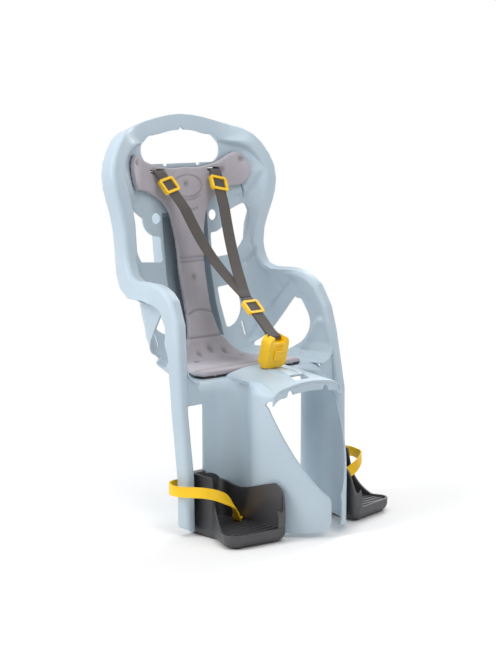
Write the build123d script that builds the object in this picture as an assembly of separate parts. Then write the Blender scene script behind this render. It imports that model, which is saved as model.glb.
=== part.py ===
from build123d import *
from math import acos, cos, degrees, hypot, radians, sin
import os

# Frame while modelling: X across (0 on the mid-plane), -Y to the front, Z up from the lowest point, mm.
# The pieces are saved with the origin on the underside of the pan, in the middle of the carrier bolts.

# Shell, general
wall = 3.6
pan_top = 256.0
back_half_flat = 92.0
corner_radius = 58.0
pan_corner = 34.0
seam = 0.001

# Seat cavity, bottom to top: height above the pan, Y of the back, sweep of the side, length of the side
cavity_rows = [
    (0, 109, 74, 130),
    (52, 132, 78, 140),
    (102, 150, 81, 140),
    (162, 164, 82, 140),
    (222, 171, 68, 110),
    (292, 177, 46, 90),
    (362, 183, 32, 75),
    (464, 192, 22, 60),
]

# Rim and leg rail on one side: centre of the front face (X, Y, Z), then width and depth
rim_rows = [
    (0, 177, 691, 34, 27),
    (80, 170, 679, 33, 29),
    (148, 153, 650, 31, 31),
    (181, 137, 606, 29, 32),
    (169, 131, 548, 31, 32),
    (153, 137, 467, 29, 32),
    (158, 122, 427, 27, 35),
    (167, 50, 420, 28, 36),
    (172, 0, 398, 26, 33),
    (182, -31, 313, 23, 28),
    (190, -46, 208, 20, 25),
    (184, -53, 98, 20, 25),
    (184, -54, 8, 20, 25),
]
waist_row = 5
rail_row = 9
rim_below_foot = (186, -54, -80)
rim_skin = 3.4
rim_inner_skin = 6.0
rim_round = 8.5
rim_back_reach = 30.0
rim_steps = [3, 3, 3, 3, 3, 3, 4, 3, 2, 1, 1, 1]
rail_end_round = 14.0

# Calf panels, wheel guards and horn
calf_y = -31.0
calf_rear_y = 30.0
calf_half_width = 158.0
calf_web_top = 300.0
calf_top_round = 22.0
calf_inner_round = 25.0
base_z = 8.0
guard_tip_round = 22.0
guard_half_width = 88.0
guard_straight_y = -98.0
guard_tip_y = -215.0
guard_slit_half = 13.0
guard_edge_top = (-122.0, 238.0)
guard_edge_foot = (-214.0, 62.0)
horn_top = 270.0
horn_side_drop = 14.0
horn_shoulder = 30.0
horn_rear_y = -18.0
horn_front_y = -146.0
rod_notch_x = 43.0
rod_notch_radius = 6.0
horn_slot = (34.0, 16.0)
horn_slot_y = -124.0

# Handle, strap slots, windows and holes of the back
handle_half = 94.0
handle_low = 616.0
handle_high = 676.0
slot_x = 68.0
slot_z = 604.0
slot_side_gap = 2.0
slot_height = 6.0
hole_z = 519.0
hole_radius = 10.0
tab_radius = 31.0
channel_half = 54.0
channel_low = 300.0
channel_high = 528.0
channel_depth = 12.0

# Carrier bolts through the pan
carrier_y = 40.0
carrier_spacing_x = 60.0
carrier_spacing_y = 60.0
carrier_hole_radius = 3.25

# Footrests
footrest_wall = 3.5
footrest_floor = 20.0
footrest_pocket = 16.0
footrest_lip = 24.0
footrest_heel = 106.0
footrest_inner_top = 98.0
footrest_gap = 2.0
footrest_guard_gap = 7.0
footrest_inner_lap = 7.0
footrest_outer_x = 167.0
footrest_travel = 115.0
rib_height = 1.6
rib_width = 3.0
rib_pitch = 11.0
rib_count = 7
neck_height = 58.0
neck_gap = 0.4
slide_gap = 0.3
slide_thick = 4.0
slide_inner_lap = 6.0
slide_outer_lap = 1.4
rail_slot_inner = 138.0
rail_slot_outer = 172.0
rail_slot_low = 46.0
screw_radius = 2.5
screw_head_radius = 4.5
screw_head = 3.0
screw_gap = 0.1

# Foot straps: centre line of the band (X, Y, height from the band's level) and its turn from upright
foot_strap_width = 18.0
foot_strap_thick = 2.5
foot_strap_z = 84.0
foot_strap_rows = [
    (190, -14, 0, 0),
    (212, -28, 0, 0),
    (216, -48, 0, 0),
    (212, -60, 0, 0),
    (205, -76, 1, 0),
    (188, -95, 0, 0),
    (165, -105, -8, 5),
    (142, -102, -21, 30),
    (122, -94, -40, 60),
    (110, -86, -56, 80),
]
foot_strap_end = (104, -80)

# Pad
pad_gap = 0.6
pad_thick = 12.0

# Harness
strap_width = 25.0
strap_thick = 1.6
strap_gap = 0.3
strap_pad_gap = 3.0
join_y = 11.0
join_z = 386.0
adjuster_length = 30.0
adjuster_width = 36.0
adjuster_thick = 7.0
adjuster_bar = 5.0
adjuster_round = 5.0
adjuster_gap = 0.3
upper_adjuster_drop = 32.0
lower_adjuster_drop = 24.0
keeper_width = 44.0
keeper_height = 18.0
keeper_thick = 4.0
strap_fold = 5.0

# Buckle, leaning forward on the rear of the horn
buckle_y = -54.0
buckle_lean = 14.0
buckle_width = 46.0
buckle_depth = 22.0
buckle_height = 54.0
buckle_round = 4.0
buckle_top_round = 14.0
buckle_slit = (18.0, 3.5, 2.0)
buckle_slit_z = 37.0
buckle_front_wall = 3.0
buckle_foot = 5.0
buckle_seat_gap = 0.3
tongue_width = 34.0
tongue_thick = 5.0
tongue_gap = 0.3
tongue_tail = 10.0
tongue_rear = 5.0
tongue_bar_drop = 6.0
tongue_bar = 2.5
button_size = 19.0
button_corner = 4.0
button_z = 21.0
button_dish = (3.0, -2.0, 7.0, 0.9)
button_flange = 2.0
button_flange_thick = 2.0
button_travel = 3.0
button_gap = 0.3
button_stand = 3.4
button_chamfer = 1.2
buckle_screw_x = 13.0


def mirrored(shape):
    return mirror(shape, Plane.YZ)


def prism_y(face, low, high):
    return extrude(Plane.XZ.offset(-high) * face, high - low)


def prism_x(face, low, high):
    return extrude(Plane.YZ.offset(low) * face, high - low)


def prism_z(face, low, high):
    return extrude(Plane.XY.offset(low) * face, high - low)


def block(x, y, z):
    size = (x[1] - x[0], y[1] - y[0], z[1] - z[0])
    return Pos(x[0], y[0], z[0]) * Box(*size, align=(Align.MIN, Align.MIN, Align.MIN))


def mirrored_face(half_line):
    return make_face(half_line + [mirrored(edge) for edge in half_line])


def round_corner(face, point, radius):
    corner = face.vertices().sort_by_distance(Vector(*point))[0]
    return fillet(corner, radius)


# Y of the front of the back panel at a height
def back_y(height):
    rises = [pan_top + row[0] for row in cavity_rows]
    for low, high, a, b in zip(rises, rises[1:], cavity_rows, cavity_rows[1:]):
        if low <= height <= high:
            return a[1] + (b[1] - a[1]) * (height - low) / (high - low)


# One level of the seat cavity: flat back, two round corners and two flared sides
def cavity_level(height, back, sweep, side, offset):
    turn = radians(sweep)
    half = radians(sweep / 2)
    radius = corner_radius + offset
    centre_y = back - corner_radius
    start = (back_half_flat, centre_y + radius)
    middle = (back_half_flat + radius * sin(half), centre_y + radius * cos(half))
    end = (back_half_flat + radius * sin(turn), centre_y + radius * cos(turn))
    tip = (end[0] + side * cos(turn), end[1] - side * sin(turn))
    right = [Line((0, start[1]), start), ThreePointArc(start, middle, end), Line(end, tip)]
    left = [mirrored(edge) for edge in right]
    front = Line(tip, (-tip[0], tip[1]))
    outline = Wire([edge.edge() for edge in right + left + [front]])
    return Plane.XY.offset(height) * Face(outline)


# Seat cavity, grown by an offset: rounded into the pan at the bottom, then up the back
def cavity(offset):
    low, high = cavity_rows[0], cavity_rows[1]
    radius = pan_corner + offset
    levels = []
    for step in range(4):
        turn = radians(30 * step)
        rise = radius * (1 - cos(turn)) - offset
        share = rise / high[0]
        back, sweep, side = [a + (b - a) * share for a, b in zip(low[1:], high[1:])]
        levels.append(cavity_level(pan_top + rise, back, sweep, side, offset - radius * (1 - sin(turn))))
    for rise, back, sweep, side in cavity_rows[1:]:
        levels.append(cavity_level(pan_top + rise, back, sweep, side, offset))
    return loft(levels, ruled=True)


# Section plane of the rim: X to the outside, Y to the front
def rim_frame(point, along):
    back = Vector(0, 1, -0.3)
    depth = (back - along * back.dot(along)).normalized()
    return Plane(point, x_dir=along.cross(depth), z_dir=along)


# Section planes and sizes along the right rim, from the middle of the handle to the foot of the rail
def rim_stations():
    points = [Vector(*row[:3]) for row in rim_rows]
    beyond_handle = Vector(-points[1].X, points[1].Y, points[1].Z)
    line = Spline([beyond_handle] + points + [Vector(*rim_below_foot)])
    marks = [line.param_at_point(point) for point in points]
    stations = [(rim_frame(points[0], Vector(1, 0, 0)), rim_rows[0][3:])]
    for row, after, mark, next_mark, steps in zip(rim_rows, rim_rows[1:], marks, marks[1:], rim_steps):
        for step in range(1, steps + 1):
            share = step / steps
            place = mark + (next_mark - mark) * share
            sizes = [a + (b - a) * share for a, b in zip(row[3:], after[3:])]
            stations.append((rim_frame(line @ place, line % place), sizes))
    stations.append((rim_frame(line @ 1, line % 1), rim_rows[-1][3:]))
    return stations


# Outline of the rim with a rounded front
def rim_section(width, depth):
    half = width / 2
    turn = half - rim_round
    edges = [
        CenterArc((-turn, -rim_round), rim_round, 180, -90),
        Line((-turn, 0), (turn, 0)),
        CenterArc((turn, -rim_round), rim_round, 90, -90),
        Polyline((half, -rim_round), (half, -depth), (-half, -depth), (-half, -rim_round)),
    ]
    return make_face(edges)


# Space inside the rim, open to the rear: thick inner wall, thin outer skirt
def rim_core_section(width, depth):
    left = rim_inner_skin - width / 2
    right = width / 2 - rim_skin
    low = -depth - rim_back_reach
    return make_face(Polyline((left, -rim_skin), (right, -rim_skin), (right, low), (left, low), close=True))


# Rim or its inside, begun on the far side of the handle so that it runs smoothly across the mid-plane
def rim_loft(stations, section):
    far_side = []
    for frame, sizes in stations[2:0:-1]:
        point = Vector(-frame.origin.X, frame.origin.Y, frame.origin.Z)
        along = Vector(frame.z_dir.X, -frame.z_dir.Y, -frame.z_dir.Z)
        far_side.append((rim_frame(point, along), sizes))
    return loft([frame * section(*sizes) for frame, sizes in far_side + stations], ruled=True)


# Space that the right half of the tub is trimmed to, seen from the front and from the side
def rim_trim(stations):
    points = [frame.origin - frame.y_dir * rim_skin / 2 for frame, sizes in stations]
    waist = rim_rows[waist_row][2] - 1
    upper = [point for point in points if point.Z > waist]
    front_line = [(point.X, point.Z) for point in upper]
    front_line += [(240, 380), (240, 0), (0, 0)]
    front_view = prism_y(make_face(Polyline(front_line, close=True)), -400, 400)
    side_line = [(point.Y, point.Z) for point in points if point.Z > pan_top - 60]
    side_line += [(side_line[-1][0], 100), (400, 100), (400, 800), (side_line[0][0], 800)]
    return front_view & prism_x(make_face(Polyline(side_line, close=True)), -400, 400)


# Calf panels, guards and horn as one block, shrunk by an inset
def front_block(inset):
    top = pan_top - inset
    calf_front = calf_y + inset
    half = guard_half_width - inset
    bend = calf_inner_round
    bend_x = guard_half_width + bend
    bend_y = calf_y - bend
    plan_right = [
        Line((0, calf_rear_y), (calf_half_width, calf_rear_y)),
        Line((calf_half_width, calf_rear_y), (calf_half_width, calf_front)),
        Line((calf_half_width, calf_front), (bend_x, calf_front)),
        CenterArc((bend_x, bend_y), bend + inset, 90, 90),
        Line((half, bend_y), (half, bend_y - bend)),
        Line((half, bend_y - bend), (0, bend_y - bend)),
    ]
    calf = prism_z(mirrored_face(plan_right), base_z, top)
    top_edges = calf.edges().group_by(Axis.Z)[-1]
    outward = [edge for edge in top_edges if abs(edge.center().X) > half - 1]
    rounded = [edge for edge in outward if edge.center().Y < calf_front + 1]
    calf = fillet(rounded, calf_top_round - inset)
    reach = guard_straight_y - guard_tip_y
    across = guard_half_width - guard_slit_half
    nose_radius = (reach**2 + across**2) / (2 * across)
    nose_centre = guard_half_width - nose_radius
    radius = nose_radius - inset
    sweep = degrees(acos(-nose_centre / radius))
    nose_right = [
        Line((0, horn_rear_y - inset), (half, horn_rear_y - inset)),
        Line((half, horn_rear_y - inset), (half, guard_straight_y)),
        CenterArc((nose_centre, guard_straight_y), radius, 0, -sweep),
    ]
    nose = prism_z(mirrored_face(nose_right), base_z, horn_top)
    peak = horn_top - inset
    side_peak = peak - horn_side_drop
    arch = make_face(
        [
            ThreePointArc((-half, side_peak), (0, peak), (half, side_peak)),
            Polyline((half, side_peak), (half, 0), (-half, 0), (-half, side_peak)),
        ]
    )
    arch = fillet(arch.vertices().group_by(Axis.Y)[-1], horn_shoulder - inset)
    return calf + (nose & prism_y(arch, -300, 100))


# Wheel opening between the guards, cut through from side to side, and the slit at their tips
def guard_opening():
    top, foot = guard_edge_top, guard_edge_foot
    far = guard_tip_y - 60
    low = foot[1] - 14
    side = Polyline(
        (far, horn_top + 20),
        (horn_front_y, horn_top + 20),
        (horn_front_y, top[1] + 8),
        top,
        foot,
        (guard_tip_y - 8, low),
        (far, low),
        close=True,
    )
    face = make_face(side)
    face = fillet(face.vertices().sort_by(Axis.X)[-1], 12)
    half = guard_half_width + 20
    slit = block((-guard_slit_half, guard_slit_half), (far, guard_tip_y + 60), (base_z - 1, pan_top - 40))
    return prism_x(face, -half, half) + slit


# What is left over outside a rounded lower corner: corner point, radius, and the side it is rounded to
def corner_rest(x, z, radius, side):
    near, far = x - side, x + side * radius
    outline = Polyline((near, z - 1), (far, z - 1), (far, z + radius), (near, z + radius), close=True)
    return make_face(outline) - Pos(far, z + radius) * Circle(radius)


# Carrying handle: rounded opening with two notches below
def handle_opening():
    low = (handle_half - 22, handle_low)
    end = (handle_half, handle_low + 24)
    high = (handle_half - 26, handle_high - 14)
    right = [
        Line((0, handle_low), low),
        ThreePointArc(low, end, high),
        ThreePointArc(high, (handle_half / 3, handle_high - 2), (0, handle_high)),
    ]
    opening = prism_y(mirrored_face(right), 100, 260)
    return opening + prism_y(Pos(39, handle_low) * Circle(5), 100, 260)


# Windows beside the spine, upper and lower, with the round hole and the small slot, right side
def back_windows():
    tab_x = slot_x
    tab_end = (tab_x + tab_radius, hole_z + 2)
    upper = make_face(
        [
            Line((60, 440), (60, hole_z - tab_radius)),
            ThreePointArc((60, hole_z - tab_radius), (tab_x + 23, hole_z - 21), tab_end),
            Line(tab_end, (134, 541)),
            ThreePointArc((134, 541), (138, 497), (112, 444)),
            Line((112, 444), (60, 440)),
        ]
    )
    upper = fillet(upper.vertices(), 5)
    lower = make_face(
        [
            Line((63, 386), (100, 389)),
            ThreePointArc((100, 389), (110, 341), (76, 313)),
            Polyline((76, 313), (66, 313), (63, 386)),
        ]
    )
    lower = fillet(lower.vertices(), 4)
    cut = prism_y(upper, 110, 250) + prism_y(lower, 60, 250)
    cut += prism_y(Pos(tab_x, hole_z) * Circle(hole_radius), 110, 250)
    cut += prism_y(Pos(106, 308) * SlotOverall(27, 4.5, 90), 60, 250)
    return cut


# Window in the side wall under the armrest
def side_window():
    corners = [(48, 374), (34, 370), (6, 322), (38, 277), (56, 272), (112, 276), (116, 282)]
    outline = make_face(Polyline(corners, close=True))
    outline = fillet(outline.vertices(), 4)
    return prism_x(outline, 90, 230)


def strap_slot():
    length = strap_width + 2 * slot_side_gap + slot_height
    return prism_y(Pos(slot_x, slot_z) * SlotOverall(length, slot_height), 100, 260)


# Web between the calf panel and the rail, up to the middle of the rail's inner wall
def calf_web():
    inner = calf_half_width - 8
    rail = rim_rows[rail_row:]
    line = Spline([(x - (width - rim_inner_skin) / 2, z) for x, y, z, width, depth in rail])
    start, end = line @ 0, line @ 1
    outline = make_face([line, Polyline((end.X, end.Y), (inner, end.Y), (inner, start.Y), (start.X, start.Y))])
    web = prism_y(outline, calf_y, calf_y + wall)
    return web & block((0, 300), (-400, 400), (base_z, calf_web_top))


# One moulding, made as its right half and mirrored
def seat_shell():
    right = block((0, 300), (-400, 400), (base_z, 800))
    stations = rim_stations()
    cavity_in = cavity(0)
    tub = (cavity(wall) - cavity_in) & rim_trim(stations)
    tub -= block((-400, 400), (-200, calf_y + calf_top_round), (pan_top - 2 * wall, pan_top))
    channel_box = block((0, channel_half + wall), (60, 260), (channel_low - wall, channel_high + wall))
    tub += (cavity(channel_depth + wall) - cavity_in) & channel_box
    tub -= cavity(channel_depth) & block((-1, channel_half), (60, 260), (channel_low, channel_high))
    front = ((front_block(0) - front_block(wall)) & right) - guard_opening()
    half = tub + (rim_loft(stations, rim_section) & right)
    half += front
    half += calf_web() - cavity(wall / 2)
    half -= rim_loft(stations, rim_core_section)
    half -= prism_x(corner_rest(guard_tip_y, base_z, guard_tip_round, 1), 0, guard_half_width)
    rail_x = rim_rows[-1][0] + rim_rows[-1][3] / 2
    half -= prism_y(corner_rest(rail_x, base_z, rail_end_round, -1), -100, 0)
    slot_y = (calf_y - 20, calf_y + 20)
    slot_top = rail_slot_low + neck_height + footrest_travel + 2 * neck_gap
    half -= block((rail_slot_inner, rail_slot_outer), slot_y, (rail_slot_low, slot_top))
    half -= prism_y(Pos(rod_notch_x, guard_edge_top[1] + 8) * Circle(rod_notch_radius), -180, -100)
    half -= Pos(0, horn_slot_y, horn_top) * Box(*horn_slot, 40)
    half -= Pos(buckle_screw_x, buckle_y, horn_top) * Cylinder(screw_radius + screw_gap, 40)
    for y in (-carrier_spacing_y / 2, carrier_spacing_y / 2):
        half -= Pos(carrier_spacing_x / 2, carrier_y + y, pan_top) * Cylinder(carrier_hole_radius, 40)
    half = half - handle_opening() - back_windows() - side_window() - strap_slot()
    faces = [face for face in half.faces() if face.center().X > seam]
    return Solid(Shell(faces + [mirrored(face) for face in faces]))


# Foam pad: a layer on the back, the wings and the pan, cut to a T and a seat outline
def seat_pad():
    layer = cavity(-pad_gap) - cavity(-pad_gap - pad_thick)
    tee_right = [
        ThreePointArc((0, 610), (60, 612), (118, 636)),
        Spline([(118, 636), (138, 612), (136, 588), (120, 572)]),
        Spline([(120, 572), (84, 562), (58, 535), (46, 500), (43, 440), (46, 360), (58, 306)]),
        Polyline((58, 306), (64, 296), (0, 296)),
    ]
    tee = prism_y(mirrored_face(tee_right), 90, 260)
    seat_right = [
        Line((0, 140), (64, 140)),
        Spline([(64, 140), (66, 118), (78, 92), (100, 56), (122, 10)]),
        Polyline((122, 10), (118, -8), (80, -12), (0, -12)),
    ]
    seat = prism_z(mirrored_face(seat_right), pan_top - 10, 297)
    pad = (layer & tee) + (layer & seat)
    return pad - strap_slot() - mirrored(strap_slot())


# Harness: where the right shoulder strap leaves the pad, where the straps join, and the plane they lie in
strap_start = Vector(slot_x, back_y(slot_z) - pad_gap - pad_thick - strap_pad_gap, slot_z)
strap_join = Vector(0, join_y, join_z)
strap_fall = (strap_join - Vector(0, strap_start.Y, strap_start.Z)).normalized()
strap_front = strap_fall.cross(Vector(1, 0, 0))
strap_layer = (strap_thick + strap_gap) / 2
keeper_y = back_y(slot_z) + wall + strap_gap

# Buckle: base on the horn, local Z up along the lean, local Y to the rear
buckle_up = Vector(0, -sin(radians(buckle_lean)), cos(radians(buckle_lean)))
buckle_base = Vector(0, buckle_y, horn_top + buckle_seat_gap + buckle_foot)
buckle_plane = Plane(buckle_base, x_dir=(1, 0, 0), z_dir=buckle_up)
bar_z = buckle_height - tongue_bar_drop
bar_centre = buckle_plane.from_local_coords(Vector(0, tongue_rear, bar_z))
loop_room = tongue_bar + strap_thick + 4 * strap_gap
notch_half = strap_width / 2 + 2 * strap_gap
crotch_fall = (bar_centre - strap_join).normalized()
crotch_front = crotch_fall.cross(Vector(1, 0, 0))


# Right shoulder strap on its layer, 1 in front and -1 behind, with the run through the slot and a sewn fold
def shoulder_strap(layer):
    shift = strap_front * (layer * strap_layer)
    plane = Plane(strap_join + shift, x_dir=(1, 0, 0), z_dir=strap_front)
    rise = hypot(strap_start.Y - join_y, slot_z - join_z)
    half = strap_width / 2 * hypot(slot_x, rise) / rise
    face = make_face(Polyline((slot_x - half, rise), (slot_x + half, rise), (half, 0), (-half, 0), close=True))
    strip = extrude(plane * face, strap_thick / 2, both=True)
    x = (slot_x - strap_width / 2, slot_x + strap_width / 2)
    z = slot_z + shift.Z
    fold_y = keeper_y + keeper_thick + strap_gap
    run_y = (strap_start.Y + shift.Y - strap_thick / 2, fold_y + strap_fold)
    run = block(x, run_y, (z - strap_thick / 2, z + strap_thick / 2))
    fold = block(x, (fold_y, fold_y + strap_fold), (z - strap_fold / 2, z + strap_fold / 2))
    return strip + run + fold


# Doubled strap from the join to the tongue, looped round the tongue's bar
def crotch_strap():
    half = strap_layer + strap_thick / 2
    top = []
    for side in (1, -1):
        along = (strap_gap - side * half * crotch_front.dot(strap_fall)) / crotch_fall.dot(strap_fall)
        top.append(strap_join + crotch_front * (side * half) + crotch_fall * along)
    low = [bar_centre - crotch_front * half, bar_centre + crotch_front * half]
    strip = make_face(Polyline([(point.Y, point.Z) for point in top + low], close=True))
    centre = Pos(bar_centre.Y, bar_centre.Z)
    inner = tongue_bar + strap_gap
    loop = strip + centre * Circle(inner + strap_thick) - centre * Circle(inner)
    return prism_x(loop, -strap_width / 2, strap_width / 2)


# Webbing slide: end bars in front of the strap, middle bar behind it
def adjuster(plane, strap_depth):
    half = adjuster_thick / 2
    inner = strap_width + 2 * adjuster_gap
    tunnel = strap_depth + 2 * adjuster_gap
    body = extrude(RectangleRounded(adjuster_width, adjuster_length, adjuster_round), half, both=True)
    body -= Box(inner, adjuster_length + 2, tunnel)
    window = adjuster_length - 2 * adjuster_bar
    body -= Pos(0, 0, half) * Box(inner, window, adjuster_thick)
    side = (adjuster_length - adjuster_bar) / 2
    for y in (-1, 1):
        body -= Pos(0, y * (adjuster_bar + side + 1) / 2, -half) * Box(inner, side + 1, adjuster_thick)
    return plane * body


def upper_adjuster(layer):
    along = (strap_start - strap_join).normalized()
    centre = strap_start - along * upper_adjuster_drop + strap_front * (layer * strap_layer)
    return adjuster(Plane(centre, x_dir=along.cross(strap_front), z_dir=strap_front), strap_thick)


def lower_adjuster():
    centre = strap_join + crotch_fall * lower_adjuster_drop
    plane = Plane(centre, x_dir=(1, 0, 0), z_dir=crotch_front)
    return adjuster(plane, 2 * strap_layer + strap_thick)


# Plate behind the back that the strap's fold rests on
def strap_keeper():
    face = RectangleRounded(keeper_width, keeper_height, 4)
    face -= Rectangle(strap_width + 2 * strap_gap, 2 * strap_layer + strap_thick + 2 * strap_gap)
    layer = cavity(wall + strap_gap + keeper_thick) - cavity(wall + strap_gap)
    return layer & prism_y(Pos(slot_x, slot_z) * face, keeper_y - 20, keeper_y + 20)


# Outline of the button, its bore or its chamber, grown by an offset
def button_face(grown):
    size = button_size + 2 * grown
    return Pos(0, button_z) * RectangleRounded(size, size, button_corner + grown)


# Buckle housing: the button's bore and chamber, a slit, the tongue's socket, the strap's notch and a foot
def buckle_housing():
    front = -buckle_depth / 2
    outline = Pos(0, buckle_height / 2) * Rectangle(buckle_width, buckle_height)
    outline = fillet(outline.vertices().group_by(Axis.Y)[-1], buckle_top_round)
    outline = fillet(outline.vertices().group_by(Axis.Y)[0], buckle_round)
    body = prism_y(outline, front, -front)
    body -= prism_y(button_face(button_gap), front - 1, front + buckle_front_wall + 1)
    chamber_end = front + buckle_front_wall + button_flange_thick + button_travel + 2 * button_gap
    body -= prism_y(button_face(button_flange + button_gap), front + buckle_front_wall, chamber_end)
    length, height, depth = buckle_slit
    body -= prism_y(Pos(0, buckle_slit_z) * SlotOverall(length, height), front - 1, front + depth)
    half = tongue_width / 2 + tongue_gap
    thick = tongue_thick / 2 + tongue_gap
    socket_y = (tongue_rear - thick, tongue_rear + thick)
    body -= block((-half, half), socket_y, (bar_z - loop_room - tongue_tail - tongue_gap, buckle_height + 1))
    body -= block((-notch_half, notch_half), (-buckle_depth, buckle_depth), (bar_z - loop_room, buckle_height + 1))
    body = buckle_plane * body
    seat = horn_top + buckle_seat_gap
    foot = Pos(0, buckle_y) * RectangleRounded(buckle_width - 6, buckle_depth - 2, 5)
    body += prism_z(foot, seat, seat + buckle_foot + 6)
    for x in (-buckle_screw_x, buckle_screw_x):
        body -= Pos(x, buckle_y, seat) * Cylinder(screw_radius + screw_gap, 2 * buckle_foot)
    return body


# Tongue: plate in the socket, window and round bar for the strap
def buckle_tongue():
    half = tongue_width / 2
    low = bar_z - loop_room
    plate = block((-half, half), (-tongue_thick / 2, tongue_thick / 2), (low - tongue_tail, bar_z))
    plate -= block((-notch_half, notch_half), (-tongue_thick, tongue_thick), (low, bar_z + 1))
    bar = Pos(0, 0, bar_z) * Rot(0, 90, 0) * Cylinder(tongue_bar, tongue_width)
    return buckle_plane * Pos(0, tongue_rear, 0) * (plate + bar)


def buckle_button():
    seat = buckle_front_wall + button_gap - buckle_depth / 2
    face = -buckle_depth / 2 - button_stand
    head = prism_y(button_face(0), face, seat)
    head = chamfer(head.edges().group_by(Axis.Y)[0], button_chamfer)
    x, z, radius, depth = button_dish
    head -= prism_y(Pos(x, button_z + z) * Circle(radius), face - 1, face + depth)
    flange = prism_y(button_face(button_flange), seat, seat + button_flange_thick)
    return buckle_plane * (head + flange)


def buckle_screws():
    drop = horn_side_drop * (buckle_screw_x / guard_half_width) ** 2
    under = horn_top - drop - wall - buckle_seat_gap
    screws = []
    for x in (-buckle_screw_x, buckle_screw_x):
        shank = prism_z(Pos(x, buckle_y) * Circle(screw_radius), under, horn_top + buckle_foot - 1)
        screws.append(shank + prism_z(Pos(x, buckle_y) * Circle(screw_head_radius), under - screw_head, under))
    return Compound(screws)


# Seats shared by the footrest and what is fixed to it
footrest_rear_y = calf_y - footrest_gap
neck_low = rail_slot_low + neck_gap
neck_x = (rail_slot_inner + neck_gap, rail_slot_outer - neck_gap)
slide_y = calf_y + wall + slide_gap
screw_x = (neck_x[0] + neck_x[1]) / 2
screw_heights = (neck_low + 12, foot_strap_z)
strap_y = slide_y + slide_thick + strap_gap + foot_strap_thick / 2


# Right footrest: walled tray with a ribbed floor, open to the front, with a neck through the slot
def footrest():
    inner_x = guard_half_width + footrest_guard_gap
    open_x = inner_x + footrest_inner_lap
    corners = [
        (footrest_outer_x, footrest_rear_y, 3),
        (inner_x, footrest_rear_y, 18),
        (inner_x, -95, 40),
        (inner_x - 17, -183, 12),
        (202, -163, 20),
        (168, -88, 30),
    ]
    plan = make_face(Polyline([corner[:2] for corner in corners], close=True))
    for x, y, radius in corners:
        plan = round_corner(plan, (x, y, 0), radius)
    inside = offset(plan, -footrest_wall)
    top, heel, lip, far = footrest_inner_top, footrest_heel, footrest_lip, -230
    body = prism_z(plan, 0, heel + 10)
    body = body - prism_z(inside, footrest_floor, heel + 11) - prism_z(inside, -1, footrest_pocket)
    turn_x = inner_x + 12
    crown = Spline([(turn_x, 88), (inner_x + 23, 96), (136, 100), (155, heel - 3), (215, heel + 2)])
    above = Polyline((215, heel + 2), (215, heel + 20), (turn_x, heel + 20), (turn_x, 88))
    body -= prism_y(make_face([crown, above]), far, 0)
    inner_crown = Spline([(far, top), (-170, top), (-140, 92), (-105, 82), (-75, 77), (-52, 80), (-20, 92)])
    above = Polyline((-20, 92), (-20, heel + 20), (far, heel + 20), (far, top))
    body -= prism_x(make_face([inner_crown, above]), 0, turn_x)
    slope = Spline([(-80, heel + 6), (-86, 86), (-91, 66), (-108, 38), (-128, lip)])
    front = Polyline((-128, lip), (far, lip), (far, heel + 20), (-80, heel + 20), (-80, heel + 6))
    body -= prism_x(make_face([slope, front]), open_x, 230)
    inner_end = Polyline((-179, lip), (far, lip), (far, top + 20), (-165, top + 20), (-165, top))
    corner = ThreePointArc((-165, top), (-174.9, top - 4.1), (-179, top - 14))
    inner_cut = make_face([inner_end, corner, Line((-179, top - 14), (-179, lip))])
    body -= prism_x(inner_cut, 0, open_x)
    rib = block((60, 230), (-161, -161 + rib_width), (footrest_floor - 1, footrest_floor + rib_height))
    rib_space = prism_z(offset(plan, -footrest_wall / 2), 0, lip)
    for index in range(rib_count):
        body += (Pos(0, index * rib_pitch, 0) * rib) & rib_space
    slot = Pos(*foot_strap_end) * Rectangle(foot_strap_thick + 1, foot_strap_width + 2)
    body -= prism_z(slot, 0, footrest_floor + 5)
    body += block(neck_x, (footrest_rear_y - footrest_wall, slide_y), (neck_low, neck_low + neck_height))
    for z in screw_heights:
        body -= prism_y(Pos(screw_x, z) * Circle(screw_radius + screw_gap), slide_y - 9, slide_y + 1)
    return body


def footrest_slide():
    x = (rail_slot_inner - slide_inner_lap, rail_slot_outer + slide_outer_lap)
    plate = block(x, (slide_y, slide_y + slide_thick), (neck_low, neck_low + neck_height))
    for z in screw_heights:
        plate -= prism_y(Pos(screw_x, z) * Circle(screw_radius + screw_gap), slide_y - 1, slide_y + 10)
    return plate


# Two screws: one on the slide plate, one that also clamps the end of the foot strap
def footrest_screws():
    seats = (slide_y + slide_thick + strap_gap, strap_y + foot_strap_thick / 2 + strap_gap)
    screws = []
    for z, seat in zip(screw_heights, seats):
        shank = prism_y(Pos(screw_x, z) * Circle(screw_radius), slide_y - 8, seat)
        screws.append(shank + prism_y(Pos(screw_x, z) * Circle(screw_head_radius), seat, seat + screw_head))
    return Compound(screws)


def foot_strap_section(line, mark, turn):
    along = line % mark
    upright = Vector(0, sin(radians(turn)), cos(radians(turn)))
    across = (upright - along * upright.dot(along)).normalized()
    return Plane(line @ mark, x_dir=across, z_dir=along) * Rectangle(foot_strap_width, foot_strap_thick)


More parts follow.
